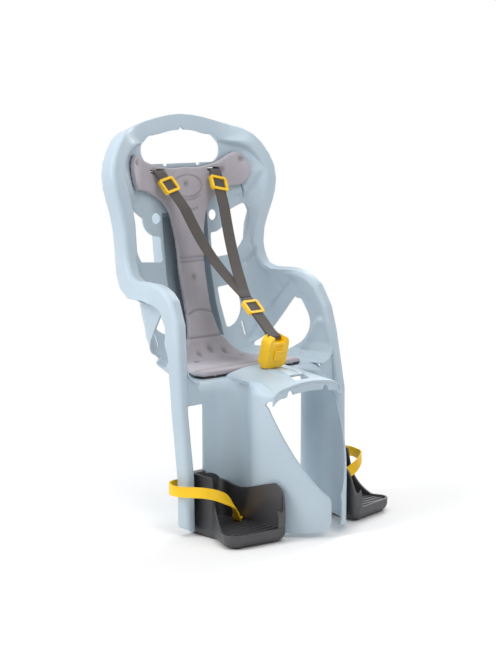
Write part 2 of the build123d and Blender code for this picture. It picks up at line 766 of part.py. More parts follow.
# Rubber band from the slide plate, round the rail and over the foot, down into the floor of the tray
def foot_strap():
    rows = [
        (screw_x - screw_head_radius - 3, strap_y, foot_strap_z, 0),
        (screw_x + screw_head_radius + 1, strap_y, foot_strap_z, 0),
    ]
    rows += [(x, y, foot_strap_z + z, turn) for x, y, z, turn in foot_strap_rows]
    rows.append((foot_strap_end[0], foot_strap_end[1], footrest_floor - 2, 90))
    points = [Vector(*row[:3]) for row in rows]
    line = Spline(points, tangents=[(1, 0, 0), (0, 0, -1)])
    marks = [line.param_at_point(point) for point in points]
    sections = []
    for start, end, row, after in zip(marks, marks[1:], rows, rows[1:]):
        for share in (0, 1 / 3, 2 / 3):
            mark = start + (end - start) * share
            turn = row[3] + (after[3] - row[3]) * share
            sections.append(foot_strap_section(line, mark, turn))
    sections.append(foot_strap_section(line, 1, rows[-1][3]))
    hole = prism_y(Pos(screw_x, foot_strap_z) * Circle(screw_radius + screw_gap), strap_y - 5, strap_y + 5)
    return loft(sections, ruled=True) - hole


def save(shape, name):
    placed = Pos(0, -carrier_y, wall - pan_top) * shape
    print(name, placed.is_valid, len(placed.solids()), round(placed.volume))
    export_step(placed, "parts/" + name + ".step")


def save_pair(right, name):
    save(right, name + "_right")
    save(Compound([mirrored(solid) for solid in right.solids()]), name + "_left")


os.makedirs("parts", exist_ok=True)
save_pair(foot_strap(), "foot_strap")
save_pair(footrest(), "footrest")
save_pair(footrest_slide(), "footrest_slide")
save_pair(footrest_screws(), "footrest_screws")
save(buckle_housing(), "buckle_housing")
save(buckle_tongue(), "buckle_tongue")
save(buckle_button(), "buckle_button")
save(buckle_screws(), "buckle_screws")
save(crotch_strap(), "crotch_strap")
save(shoulder_strap(-1), "shoulder_strap_right")
save(mirrored(shoulder_strap(1)), "shoulder_strap_left")
save(upper_adjuster(-1), "strap_adjuster_right")
save(mirrored(upper_adjuster(1)), "strap_adjuster_left")
save(lower_adjuster(), "strap_adjuster_lower")
save_pair(strap_keeper(), "strap_keeper")
save(seat_pad(), "seat_pad")
save(seat_shell(), "seat_shell")
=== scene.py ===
import bpy
import bmesh
import math
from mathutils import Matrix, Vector


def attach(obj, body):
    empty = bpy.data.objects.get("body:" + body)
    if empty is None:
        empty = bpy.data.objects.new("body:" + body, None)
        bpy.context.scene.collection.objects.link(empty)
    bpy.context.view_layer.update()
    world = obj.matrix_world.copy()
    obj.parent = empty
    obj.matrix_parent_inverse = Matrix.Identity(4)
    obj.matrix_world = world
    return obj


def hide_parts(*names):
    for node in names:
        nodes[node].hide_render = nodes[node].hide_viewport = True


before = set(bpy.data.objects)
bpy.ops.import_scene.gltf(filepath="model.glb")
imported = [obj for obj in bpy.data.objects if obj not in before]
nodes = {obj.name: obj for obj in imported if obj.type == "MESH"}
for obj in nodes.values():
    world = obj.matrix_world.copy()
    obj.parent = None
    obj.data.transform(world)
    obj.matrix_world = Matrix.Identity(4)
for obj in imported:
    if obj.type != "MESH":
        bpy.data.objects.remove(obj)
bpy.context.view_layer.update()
scene = bpy.context.scene
scene.view_settings.view_transform = "Standard"
print("frame loaded:", len(nodes), "nodes")


# finishes

def screen(red, green, blue):  # screen colour, 0 to 255, to the shader's linear values
    parts = [part / 255 for part in (red, green, blue)]
    return [part / 12.92 if part < 0.04 else ((part + 0.055) / 1.055) ** 2.4 for part in parts] + [1]


def newFinish(name):
    finish = bpy.data.materials.new(name)
    finish.use_nodes = True
    return finish, finish.node_tree, finish.node_tree.nodes["Principled BSDF"]


def addNode(tree, kind, **values):
    node = tree.nodes.new(kind)
    for key, value in values.items():
        node.inputs[key.replace("_", " ")].default_value = value
    return node


def grain(tree, coords, scale, detail=2.0):
    node = addNode(tree, "ShaderNodeTexNoise", Scale=scale, Detail=detail)
    tree.links.new(coords, node.inputs["Vector"])
    return node.outputs["Fac"]


def ranged(tree, value, low, high):
    node = addNode(tree, "ShaderNodeMapRange", From_Min=0.3, From_Max=0.7, To_Min=low, To_Max=high)
    tree.links.new(value, node.inputs["Value"])
    return node.outputs["Result"]


def ramp(tree, value, dark, light, start=0.3, end=0.7):
    node = addNode(tree, "ShaderNodeValToRGB")
    node.color_ramp.elements[0].position = start
    node.color_ramp.elements[0].color = dark
    node.color_ramp.elements[1].position = end
    node.color_ramp.elements[1].color = light
    tree.links.new(value, node.inputs["Fac"])
    return node.outputs["Color"]


def bumped(tree, shader, height, strength, depth, edge=0.0):
    node = addNode(tree, "ShaderNodeBump", Strength=strength, Distance=depth)
    tree.links.new(height, node.inputs["Height"])
    if edge:  # small moulded radius on every corner
        rounding = addNode(tree, "ShaderNodeBevel", Radius=edge)
        rounding.samples = 4
        tree.links.new(rounding.outputs["Normal"], node.inputs["Normal"])
    tree.links.new(node.outputs["Normal"], shader.inputs["Normal"])


grainDepth = 0.0002  # metres of the finest bump of moulded plastic


def mouldedPlastic(name, look):
    finish, tree, shader = newFinish(name)
    coords = tree.nodes.new("ShaderNodeTexCoord").outputs["Object"]
    tone = ramp(tree, grain(tree, coords, look["cloud"], 3), look["dark"], look["light"])
    tree.links.new(tone, shader.inputs["Base Color"])
    rough = ranged(tree, grain(tree, coords, look["smear"], 4), look["smooth"], look["dull"])
    tree.links.new(rough, shader.inputs["Roughness"])
    shader.inputs["Specular IOR Level"].default_value = look["gloss"]
    bumped(tree, shader, grain(tree, coords, look["spark"], 2), look["bump"], grainDepth, look["edge"])
    return finish


shellPlastic = mouldedPlastic("shellPlastic", {
    "dark": screen(183, 200, 212), "light": screen(192, 208, 219), "cloud": 7, "smear": 60,
    "smooth": 0.40, "dull": 0.52, "gloss": 0.42, "spark": 1500, "bump": 0.10, "edge": 0.0012})
yellowPlastic = mouldedPlastic("yellowPlastic", {
    "dark": screen(250, 196, 18), "light": screen(255, 206, 30), "cloud": 30, "smear": 150,
    "smooth": 0.30, "dull": 0.42, "gloss": 0.5, "spark": 2200, "bump": 0.05, "edge": 0.0005})
footrestPlastic = mouldedPlastic("footrestPlastic", {
    "dark": screen(44, 44, 48), "light": screen(58, 57, 61), "cloud": 22, "smear": 120,
    "smooth": 0.34, "dull": 0.48, "gloss": 0.85, "spark": 1100, "bump": 0.30, "edge": 0.0012})
strapRubber = mouldedPlastic("strapRubber", {
    "dark": screen(250, 194, 14), "light": screen(255, 208, 28), "cloud": 24, "smear": 90,
    "smooth": 0.42, "dull": 0.55, "gloss": 0.45, "spark": 1800, "bump": 0.08, "edge": 0.0005})


def makeFoam(look):
    finish, tree, shader = newFinish("padFoam")
    coords = tree.nodes.new("ShaderNodeTexCoord").outputs["Object"]
    top = ramp(tree, grain(tree, coords, look["cloud"], 3), look["dark"], look["light"])
    # mixes in the dark backing colour: as the colour of the pad's back, and as painted shade in the grooves
    # and dimples of the embossing
    under = tree.nodes.new("ShaderNodeAttribute")
    under.attribute_name = "backingAndGrooveShade"
    mix = tree.nodes.new("ShaderNodeMixRGB")
    mix.inputs["Color2"].default_value = look["backingAndGrooveShade"]
    tree.links.new(under.outputs["Fac"], mix.inputs["Fac"])
    tree.links.new(top, mix.inputs["Color1"])
    tree.links.new(mix.outputs["Color"], shader.inputs["Base Color"])
    rough = ranged(tree, grain(tree, coords, look["smear"]), look["smooth"], look["dull"])
    tree.links.new(rough, shader.inputs["Roughness"])
    shader.inputs["Specular IOR Level"].default_value = look["gloss"]
    shader.inputs["Sheen Weight"].default_value = look["sheen"]
    shader.inputs["Sheen Roughness"].default_value = look["sheenSpread"]
    bumped(tree, shader, grain(tree, coords, look["pores"], 4), look["bump"], look["depth"])
    return finish


def makeWebbing(look):
    finish, tree, shader = newFinish("strapWebbing")
    place = tree.nodes.new("ShaderNodeTexCoord").outputs["UV"]
    heights = []
    for turn in (look["twill"], -look["twill"]):  # crossed ribs of the weave
        turned = tree.nodes.new("ShaderNodeMapping")
        turned.inputs["Rotation"].default_value = (0, 0, turn)
        tree.links.new(place, turned.inputs["Vector"])
        wave = addNode(tree, "ShaderNodeTexWave", Scale=look["ribs"], Distortion=look["waver"],
                       Detail_Scale=look["waverScale"])
        wave.bands_direction = "Y"
        tree.links.new(turned.outputs["Vector"], wave.inputs["Vector"])
        heights.append(wave.outputs["Fac"])
    weave = tree.nodes.new("ShaderNodeMath")
    weave.operation = "MULTIPLY"
    tree.links.new(heights[0], weave.inputs[0])
    tree.links.new(heights[1], weave.inputs[1])
    tone = ramp(tree, weave.outputs[0], look["dark"], look["light"], 0.0, 0.8)
    tree.links.new(tone, shader.inputs["Base Color"])
    shader.inputs["Roughness"].default_value = look["dull"]
    shader.inputs["Sheen Weight"].default_value = look["sheen"]
    shader.inputs["Specular IOR Level"].default_value = look["gloss"]
    bumped(tree, shader, weave.outputs[0], look["bump"], look["depth"])
    return finish


def makeSteel(look):
    finish, tree, shader = newFinish("screwSteel")
    coords = tree.nodes.new("ShaderNodeTexCoord").outputs["Object"]
    rough = ranged(tree, grain(tree, coords, look["smear"], 3), look["smooth"], look["dull"])
    tree.links.new(rough, shader.inputs["Roughness"])
    tone = ramp(tree, grain(tree, coords, look["cloud"]), look["dark"], look["light"])
    tree.links.new(tone, shader.inputs["Base Color"])
    shader.inputs["Metallic"].default_value = 1.0
    return finish


# the dark backing colour is also the colour of the painted shade in the pad's grooves
padFoam = makeFoam({
    "dark": screen(172, 167, 175), "light": screen(184, 179, 186), "backingAndGrooveShade": screen(26, 26, 30),
    "cloud": 16, "smear": 200, "smooth": 0.72, "dull": 0.9, "gloss": 0.3, "sheen": 0.25, "sheenSpread": 0.5,
    "pores": 900, "bump": 0.45, "depth": 0.0004})
strapWebbing = makeWebbing({
    "dark": screen(62, 57, 55), "light": screen(104, 97, 93), "twill": 0.6, "ribs": 130,
    "waver": 0.4, "waverScale": 3.0, "dull": 0.75, "sheen": 0.3, "gloss": 0.3, "bump": 0.7, "depth": 0.0004})
screwSteel = makeSteel({
    "dark": screen(176, 178, 182), "light": screen(196, 198, 200), "cloud": 300, "smear": 900,
    "smooth": 0.25, "dull": 0.4})
print("finishes made")


# pieces that keep the form of their node

mouldLook = {
    "merge": 2e-6, "flat": 0.5, "sharp": 38.0,  # degrees: what counts as flat, and as an edge
    "tray": 0.0008, "plate": 0.0005, "screw": 0.0003, "band": 0.0005,  # widths of the rounded edges
    "adjuster": 0.0006, "keeper": 0.0005, "buckle": 0.0012, "tongue": 0.0005, "button": 0.0004,
}


def eased(value):
    value = min(1.0, max(0.0, value))
    return value * value * (3 - 2 * value)


def dip(distance, width):
    return math.exp(-(distance / width) ** 2)


def between(level, steps):  # value at a level, from the two nearest steps
    for (low, first), (high, second) in zip(steps, steps[1:]):
        if level < high:
            return first + (second - first) * min(1.0, max(0.0, (level - low) / (high - low)))
    return steps[-1][1]


def addPiece(name, mesh, finish, body):
    piece = bpy.data.objects.new(name, mesh)
    scene.collection.objects.link(piece)
    mesh.materials.append(finish)
    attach(piece, body)
    return piece


def mergedCopy(node):
    shape = bmesh.new()
    shape.from_mesh(nodes[node].data)
    bmesh.ops.remove_doubles(shape, verts=shape.verts[:], dist=mouldLook["merge"])
    return shape


def joinFlat(shape):  # joins the triangles of a plane into one face
    bmesh.ops.dissolve_limit(shape, angle_limit=math.radians(mouldLook["flat"]), verts=shape.verts[:],
                             edges=shape.edges[:])


def setSharp(shape, degrees):
    limit = math.radians(degrees)
    for face in shape.faces:
        face.smooth = True
    for edge in shape.edges:
        edge.smooth = len(edge.link_faces) == 2 and edge.calc_face_angle(0.0) < limit


def roundEdges(piece, name, width, degrees):
    bevel = piece.modifiers.new(name, "BEVEL")
    bevel.width = width
    bevel.segments = 2
    bevel.limit_method = "ANGLE"
    bevel.angle_limit = math.radians(degrees)


def thicken(piece, thickness):
    wall = piece.modifiers.new("thickness", "SOLIDIFY")
    wall.thickness = thickness
    wall.offset = 0.0


def evenShading(piece):
    weighted = piece.modifiers.new("shading", "WEIGHTED_NORMAL")
    weighted.keep_sharp = True


def mouldedPiece(name, node, finish, body, edge, form=None):
    shape = mergedCopy(node)
    joinFlat(shape)
    setSharp(shape, mouldLook["sharp"])
    if form:
        form(shape)
    mesh = bpy.data.meshes.new(name)
    shape.to_mesh(mesh)
    shape.free()
    piece = addPiece(name, mesh, finish, body)
    roundEdges(piece, "edges", mouldLook[edge], mouldLook["sharp"])
    evenShading(piece)
    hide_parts(node)


trayLook = {
    "middle": (0.140, -0.155), "half": (0.062, 0.070), "round": 0.016, "steps": 6,
    "from": -0.110, "over": 0.030,  # only the front of the tray is drawn in
    "wallFront": -0.2125, "wallTop": -0.1544, "wallRound": 0.034,  # corner of the inner wall
    "wallTurns": (14, 25, 36, 47, 58, 69, 80),  # degrees of the planes that round it
}


def cutAcross(shape, place, way, off=False):
    bmesh.ops.bisect_plane(shape, geom=shape.verts[:] + shape.edges[:] + shape.faces[:], dist=1e-6,
                           plane_co=place, plane_no=way, clear_outer=off)


def roundTray(shape, look=trayLook):  # rounds the inner wall's corner and the lower edge of the front
    middle = Vector((0, look["wallFront"] + look["wallRound"], look["wallTop"] - look["wallRound"]))
    for degrees in look["wallTurns"]:
        bmesh.ops.triangulate(shape, faces=shape.faces[:])
        way = Vector((0, -math.cos(math.radians(degrees)), math.sin(math.radians(degrees))))
        cutAcross(shape, middle + way * look["wallRound"], way, off=True)
        bmesh.ops.remove_doubles(shape, verts=shape.verts[:], dist=mouldLook["merge"])
        bmesh.ops.holes_fill(shape, edges=[edge for edge in shape.edges if edge.is_boundary])
    joinFlat(shape)
    floor = min(point.co.z for point in shape.verts)
    for step in range(1, look["steps"]):
        cutAcross(shape, (0, 0, floor + look["round"] * step / look["steps"]), (0, 0, 1))
    setSharp(shape, mouldLook["sharp"])
    for point in shape.verts:
        rise = point.co.z - floor
        if rise < look["round"]:
            rest = look["round"] - rise
            inset = look["round"] - math.sqrt(look["round"] ** 2 - rest ** 2)
            inset *= eased((look["from"] - point.co.y) / look["over"])
            side = -1 if point.co.x < 0 else 1
            point.co.x -= (point.co.x - side * look["middle"][0]) * inset / look["half"][0]
            point.co.y -= (point.co.y - look["middle"][1]) * inset / look["half"][1]


for side in ("left", "right"):
    foot = side + "_footrest"
    mouldedPiece("footTray." + side, "footrest_" + side, footrestPlastic, foot, "tray", roundTray)
    mouldedPiece("slidePlate." + side, "footrest_slide_" + side, footrestPlastic, foot, "plate")
    mouldedPiece("trayScrews." + side, "footrest_screws_" + side, screwSteel, foot, "screw")
    mouldedPiece("footBand." + side, "foot_strap_" + side, strapRubber, foot, "band")
    mouldedPiece("adjuster." + side, "strap_adjuster_" + side, yellowPlastic, "seat", "adjuster")
    mouldedPiece("keeper." + side, "strap_keeper_" + side, footrestPlastic, "seat", "keeper")
mouldedPiece("adjuster.lower", "strap_adjuster_lower", yellowPlastic, "seat", "adjuster")
mouldedPiece("buckle", "buckle_housing", yellowPlastic, "seat", "buckle")
mouldedPiece("tongue", "buckle_tongue", yellowPlastic, "seat", "tongue")
mouldedPiece("button", "buckle_button", yellowPlastic, "button", "button")
mouldedPiece("buckleScrews", "buckle_screws", screwSteel, "seat", "screw")
print("moulded pieces made")


# shell: the node's form on a finer mesh, with the folds and creases of the moulding

shellLook = {
    "sharp": 40.0, "grid": 0.008, "fineGrid": 0.0042, "fineReach": 0.014,
    "zones": [  # lowest and highest corners of what is shaped, right half
        [(0.0, 0.05, 0.375), (0.2, 0.2, 0.46)], [(0.078, -0.16, -0.25), (0.118, -0.06, 0.01)],
        [(0.0, -0.2, -0.04), (0.09, -0.13, 0.03)], [(0.1, -0.07, 0.0), (0.2, 0.04, 0.145)],
        [(0.12, -0.09, -0.012), (0.172, -0.056, 0.030)], [(0.0, 0.04, 0.040), (0.060, 0.2, 0.284)]],
    "zoneMargin": 0.004,
    "bandLow": 0.388, "bandRise": 0.020, "bandHalf": 0.085, "bandFade": 0.070, "bandFlat": 0.85,  # handle
    "backLine": [(0.0036, 0.069), (0.0556, 0.092), (0.1056, 0.110),  # Z and Y of the back's own face
                 (0.1656, 0.124), (0.2256, 0.131), (0.2956, 0.137)],
    "backPoint": (0.140, 0.3656), "backLean": 0.088,  # Y and Z of the back's front, and its slope
    "ovalAt": (0.072, 0.4096), "ovalSpread": (0.018, 0.012), "ovalRise": 0.005,  # rounder ends of the opening
    "channelHalf": 0.0600, "channelZ": (0.046, 0.277), "channelDeeper": 0.012,
    "channelFrom": 0.04, "channelEnd": 0.01, "channelStart": 0.004,
    "vee": 0.4236, "veeHalf": 0.0055, "veeRise": 0.008, "veeSpread": 0.010,  # notch over the handle
    "shoulder": (0.150, 0.398), "shoulderSpread": 0.040, "shoulderRise": 0.009,
    "grooveY": -0.108, "grooveSpread": 0.022, "grooveDepth": 0.013,  # fold beside the calf panel
    "grooveX": (0.078, 0.118), "grooveTop": -0.012, "grooveFade": 0.02,
    "droopFrom": -0.135, "droopOver": 0.050, "droopLow": -0.035, "droopRise": 0.020, "droop": 0.013,  # horn
    "windowX": 0.1, "windowCorners": [  # Y and Z of a corner, way inwards, reach, move
        ((-0.034, 0.0696), (1.0, 0.0), 0.030, 0.009), ((-0.002, 0.0246), (0.4, 0.9), 0.024, 0.005),
        ((0.002, 0.1196), (0.2, -1.0), 0.022, 0.005)],
    "melt": [(0.122, -0.090, -0.012), (0.172, -0.056, 0.030)], "meltTurns": 6,  # corner under the arm
}
creaseLook = {"taper": 0.2, "lead": 0.002, "rise": 0.005, "reach": 3}  # shared by all creases
shellCreases = {
    "wing": {"path": [(0.1640, 0.1020, 0.3480), (0.1540, 0.1060, 0.3330), (0.1425, 0.1129, 0.3176),
                      (0.1294, 0.1237, 0.3027), (0.1090, 0.1340, 0.2900)],
             "toward": (-0.62, -0.78, 0.05), "step": 0.005, "fade": 0.016, "ridge": -0.004, "width": 0.006},
    "waist": {"path": [(0.1450, 0.0990, 0.2076), (0.1398, 0.1018, 0.1946), (0.1318, 0.1098, 0.1814),
                       (0.1239, 0.1151, 0.1721)],
              "toward": (-0.65, -0.75, 0.05), "step": 0.004, "fade": 0.014, "ridge": -0.004, "width": 0.006},
    "hip": {"path": [(0.1560, 0.0150, 0.1496), (0.1548, 0.0309, 0.1336), (0.1490, 0.0596, 0.0975),
                     (0.1345, 0.0769, 0.0650), (0.1123, 0.0806, 0.0384), (0.0950, 0.0760, 0.0280)],
            "toward": (-0.85, -0.45, 0.15), "step": 0.0, "fade": 0.010, "ridge": -0.0040, "width": 0.0042},
    "thigh": {"path": [(0.1660, -0.0550, 0.0846), (0.1673, -0.0432, 0.0690), (0.1630, -0.0220, 0.0373),
                       (0.1457, -0.0149, 0.0113)],
              "toward": (-0.95, -0.20, 0.15), "step": 0.0, "fade": 0.010, "ridge": 0.0060, "width": 0.0060},
}


def refine(shape, longest, near):  # halves the long edges until none is left
    for turn in range(8):
        cut = [edge for edge in shape.edges
               if edge.calc_length() > longest and near((edge.verts[0].co + edge.verts[1].co) / 2)]
        if not cut:
            break
        bmesh.ops.subdivide_edges(shape, edges=cut, cuts=1)
        bmesh.ops.triangulate(shape, faces=[face for face in shape.faces if len(face.verts) > 3])


def smoothed(shape, points, turns):
    for turn in range(turns):
        bmesh.ops.smooth_vert(shape, verts=points, factor=0.5,
                              use_axis_x=True, use_axis_y=True, use_axis_z=True)


def nearestOnPath(place, path):  # distance, share of the way along, offset and direction there
    best = None
    for i, (start, end) in enumerate(zip(path, path[1:])):
        along = end - start
        share = min(1.0, max(0.0, (place - start).dot(along) / along.length_squared))
        offset = place - start - along * share
        if best is None or offset.length < best[0]:
            best = (offset.length, (i + share) / (len(path) - 1), offset, along.normalized())
    return best


def inBox(place, box, margin):
    return all(low - margin < part < high + margin for part, low, high in zip(place, *box))


def creaseMove(place, crease):
    look = creaseLook
    if not inBox(place, crease["box"], look["reach"] * max(crease["fade"], crease["width"])):
        return Vector()
    distance, share, offset, along = nearestOnPath(place, crease["points"])
    taper = eased(share / look["taper"]) * eased((1 - share) / look["taper"])
    across = offset.dot(along.cross(crease["way"]))
    raised = crease["step"] * eased((across + look["lead"]) / look["rise"])
    raised *= math.exp(-max(0.0, across) / crease["fade"])
    if distance > look["reach"] * crease["fade"]:
        raised = 0.0
    return crease["way"] * (taper * (raised + crease["ridge"] * dip(distance, crease["width"])))


def deepness(place, look):  # 0 on the back's own face, 1 from the floor of the spine's channel
    front = between(place.z, look["backLine"])
    return eased((place.y - front - look["channelStart"]) / look["channelStart"])


def shellMove(place, look):  # move of a point of the right half
    x, y, z = place
    move = Vector()
    backFront = look["backPoint"][0] + (z - look["backPoint"][1]) * look["backLean"]
    if z > look["bandLow"] and y < backFront:
        flat = eased((z - look["bandLow"]) / look["bandRise"])
        flat *= 1 - eased((x - look["bandHalf"]) / look["bandFade"])
        move.y += (backFront - y) * look["bandFlat"] * flat
    if z > look["bandLow"]:
        notch = max(0.0, 1 - x / look["veeHalf"])
        move.z += look["veeRise"] * notch * dip(z - look["vee"], look["veeSpread"])
        (ovalX, ovalZ), (spreadX, spreadZ) = look["ovalAt"], look["ovalSpread"]
        move.z += look["ovalRise"] * dip(x - ovalX, spreadX) * dip(z - ovalZ, spreadZ)
    lowest, highest = look["channelZ"]
    if x < look["channelHalf"] and lowest < z < highest and y > look["channelFrom"]:
        ends = eased((z - lowest) / look["channelEnd"]) * eased((highest - z) / look["channelEnd"])
        move.y += look["channelDeeper"] * ends * deepness(place, look)
    (shoulderX, shoulderZ), spread = look["shoulder"], look["shoulderSpread"]
    move.z += look["shoulderRise"] * dip(x - shoulderX, spread) * dip(z - shoulderZ, spread)
    if look["grooveX"][0] < x < look["grooveX"][1] and z < look["grooveTop"] + look["grooveFade"]:
        fade = 1 - eased((z - look["grooveTop"]) / look["grooveFade"])
        move.x -= look["grooveDepth"] * dip(y - look["grooveY"], look["grooveSpread"]) * fade
    if y < look["droopFrom"] and z > look["droopLow"]:
        slope = eased((look["droopFrom"] - y) / look["droopOver"])
        move.z -= look["droop"] * slope * eased((z - look["droopLow"]) / look["droopRise"])
    for (cornerY, cornerZ), (wayY, wayZ), reach, most in look["windowCorners"]:
        distance = math.hypot(y - cornerY, z - cornerZ)
        if x > look["windowX"] and distance < reach:
            push = most * (1 - distance / reach) ** 2
            move += Vector((0, wayY * push, wayZ * push))
    for crease in shellCreases.values():
        move += creaseMove(place, crease)
    return move


def rightOf(place):  # the same point on the right half
    return Vector((abs(place.x), place.y, place.z))


def makeShell(look):
    for crease in shellCreases.values():
        crease["points"] = [Vector(point) for point in crease["path"]]
        crease["way"] = Vector(crease["toward"]).normalized()
        crease["box"] = [[pick(parts) for parts in zip(*crease["path"])] for pick in (min, max)]

    def nearCrease(place):
        right, reach = rightOf(place), look["fineReach"]
        close = [crease for crease in shellCreases.values() if inBox(right, crease["box"], reach)]
        return any(nearestOnPath(right, crease["points"])[0] < reach for crease in close)

    def inZone(place):
        return any(inBox(rightOf(place), zone, look["zoneMargin"]) for zone in look["zones"])

    shape = mergedCopy("seat_shell")
    refine(shape, look["grid"], inZone)
    refine(shape, look["fineGrid"], nearCrease)
    setSharp(shape, look["sharp"])
    melted = [point for point in shape.verts if inBox(rightOf(point.co), look["melt"], 0)]
    smoothed(shape, melted, look["meltTurns"])
    for point in shape.verts:
        side = -1 if point.co.x < 0 else 1
        move = shellMove(rightOf(point.co), look)
        point.co += Vector((side * move.x, move.y, move.z))
    mesh = bpy.data.meshes.new("shell")
    shape.to_mesh(mesh)
    shape.free()
    piece = addPiece("shell", mesh, shellPlastic, "seat")
    evenShading(piece)
    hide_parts("seat_shell")
    print("shell triangles:", len(mesh.polygons))


lipLook = {
    "y": -0.1832, "half": 0.082, "columns": 66, "height": 0.016, "thick": 0.0034, "sunk": 0.0012,
    "peak": 0.0176, "archRound": 0.2836, "shoulderX": 0.058, "shoulderZ": -0.0179, "shoulderRound": 0.030,
    "notchX": 0.043, "notchRound": 0.006, "notchRise": 0.003, "edge": 0.0008, "sharp": 50.0,
}


def lipTop(x, look):  # height of the horn's front edge
    if abs(x) < look["shoulderX"]:
        return look["peak"] - look["archRound"] + math.sqrt(look["archRound"] ** 2 - x * x)
    return look["shoulderZ"] + math.sqrt(look["shoulderRound"] ** 2 - (abs(x) - look["shoulderX"]) ** 2)


def makeLip(look):
    shape = bmesh.new()
    row = []
    for i in range(look["columns"] + 1):
        x = look["half"] * (2 * i / look["columns"] - 1)
        row.append(shape.verts.new((x, look["y"], lipTop(x, look) - shellLook["droop"] - look["sunk"])))
    edges = [shape.edges.new(pair) for pair in zip(row, row[1:])]
    lower = bmesh.ops.extrude_edge_only(shape, edges=edges)["geom"]
    for point in [item for item in lower if isinstance(item, bmesh.types.BMVert)]:
        off = abs(abs(point.co.x) - look["notchX"])
        notch = 0.0
        if off < look["notchRound"]:
            notch = math.sqrt(look["notchRound"] ** 2 - off ** 2) + look["notchRise"]
        point.co.z -= look["height"] - notch
    bmesh.ops.recalc_face_normals(shape, faces=shape.faces[:])
    for face in shape.faces:
        face.smooth = True
    mesh = bpy.data.meshes.new("hornLip")
    shape.to_mesh(mesh)
    shape.free()
    piece = addPiece("hornLip", mesh, shellPlastic, "seat")
    thicken(piece, look["thick"])
    roundEdges(piece, "edges", look["edge"], look["sharp"])
    evenShading(piece)


makeShell(shellLook)
makeLip(lipLook)
print("shell made")


# foam pad: rounded from its solid, then embossed

padLook = {
    "voxel": 0.0021,
    "rounding": 6,
    "waist": [(0.012, 1.0), (0.034, 0.76), (0.054, 0.64), (0.094, 0.62), (0.142, 0.69), (0.199, 0.70),
              (0.246, 0.79), (0.280, 0.81), (0.296, 0.87), (0.322, 1.0)],  # height and share of the width
    "ovalCentre": (0.0, 0.3226), "ovalSize": (0.035, 0.020),
    # grooveShade: how far the deepest grooves are painted toward the dark colour, as painted shade
    "groove": 0.0026, "grooveWidth": 0.0017, "grooveShade": 0.30,
    "arcs": [(0.2976, 8.0, 0.030), (0.2786, 8.0, 0.022), (0.0996, -9.0, 0.030)],
    "creases": [(0.1936, 0.030), (0.1866, 0.030), (0.0516, 0.045)],
    "dimples": [(0.125, 0.3686), (-0.122, 0.3686), (0.088, 0.350), (-0.003, 0.3266), (0.0, 0.158)],
    "seatDimples": [(-0.030, 0.060), (0.0, 0.066), (0.030, 0.060), (-0.055, 0.040), (0.055, 0.040)],
    "dimpleDepth": 0.0040, "dimpleWidth": 0.0050,
    "frontCrease": -0.026, "frontSpread": 1.6, "backingFrom": -0.1,
    "seatTop": 0.045, "turnFrom": 0.03, "turnOver": 0.05,  # heights where the seat turns up into the back
    "facingFrom": 0.25, "facingOver": 0.3,  # the embossing fades towards the pad's edges
}


def padDepth(place, look):  # depth of the embossing at a point of the pad's front
    x, y, z = place
    width = look["grooveWidth"]
    depth = 0.0
    if z > look["seatTop"]:
        (cx, cz), (rx, rz) = look["ovalCentre"], look["ovalSize"]
        ring = math.hypot((x - cx) / rx, (z - cz) / rz)
        depth += dip((ring - 1) * (rx + rz) / 2, width)
        for level, curve, half in look["arcs"]:
            if abs(x) < half:
                depth += dip(z - level - curve * x * x, width)
        for level, half in look["creases"]:
            if abs(x) < half:
                depth += dip(z - level, width)
        depth *= look["groove"]
        for px, pz in look["dimples"]:
            depth += look["dimpleDepth"] * dip(math.hypot(x - px, z - pz), look["dimpleWidth"])
    else:
        depth += look["groove"] * dip(y - look["frontCrease"], look["frontSpread"] * width)
        for px, py in look["seatDimples"]:
            depth += look["dimpleDepth"] * dip(math.hypot(x - px, y - py), look["dimpleWidth"])
    return depth


def makePad(look):
    shape = mergedCopy("seat_pad")
    mesh = bpy.data.meshes.new("pad")
    shape.to_mesh(mesh)
    shape.free()
    block = bpy.data.objects.new("padBlock", mesh)
    scene.collection.objects.link(block)
    remesh = block.modifiers.new("even", "REMESH")
    remesh.mode = "VOXEL"
    remesh.voxel_size = look["voxel"]
    graph = bpy.context.evaluated_depsgraph_get()
    even = bpy.data.meshes.new_from_object(block.evaluated_get(graph))
    bpy.data.objects.remove(block)
    even.name = "pad"
    shape = bmesh.new()
    shape.from_mesh(even)
    smoothed(shape, shape.verts[:], look["rounding"])
    moves = []
    backingAndGrooveShade = []
    for point in shape.verts:
        point.co.x *= between(point.co.z, look["waist"])
    shape.normal_update()
    for point in shape.verts:
        upright = min(1.0, max(0.0, (point.co.z - look["turnFrom"]) / look["turnOver"]))
        facing = Vector((0, -upright, 1 - upright)).normalized().dot(point.normal)
        depth = padDepth(point.co, look)
        depth *= min(1.0, max(0.0, (facing - look["facingFrom"]) / look["facingOver"]))
        moves.append((point, point.normal * -depth))
        # painted shade: grooves and dimples are darkened toward the backing colour by their depth
        groove = look["grooveShade"] * min(1.0, depth / look["groove"])
        backingAndGrooveShade.append(1.0 if facing < look["backingFrom"] else groove)
    for point, move in moves:
        point.co += move
    for face in shape.faces:
        face.smooth = True
    shape.to_mesh(even)
    shape.free()
    even.attributes.new("backingAndGrooveShade", "FLOAT", "POINT").data.foreach_set("value", backingAndGrooveShade)
    even.materials.clear()
    pad = addPiece("pad", even, padFoam, "seat")
    finer = pad.modifiers.new("finer", "SUBSURF")
    finer.levels = 1
    finer.render_levels = 1
    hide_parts("seat_pad")


makePad(padLook)
print("pad made")


# webbing: a ribbon of rows across, drawn along its run

strapLook = {"width": 0.025, "thick": 0.0015, "across": 10, "edge": 0.0005, "sharp": 30.0}


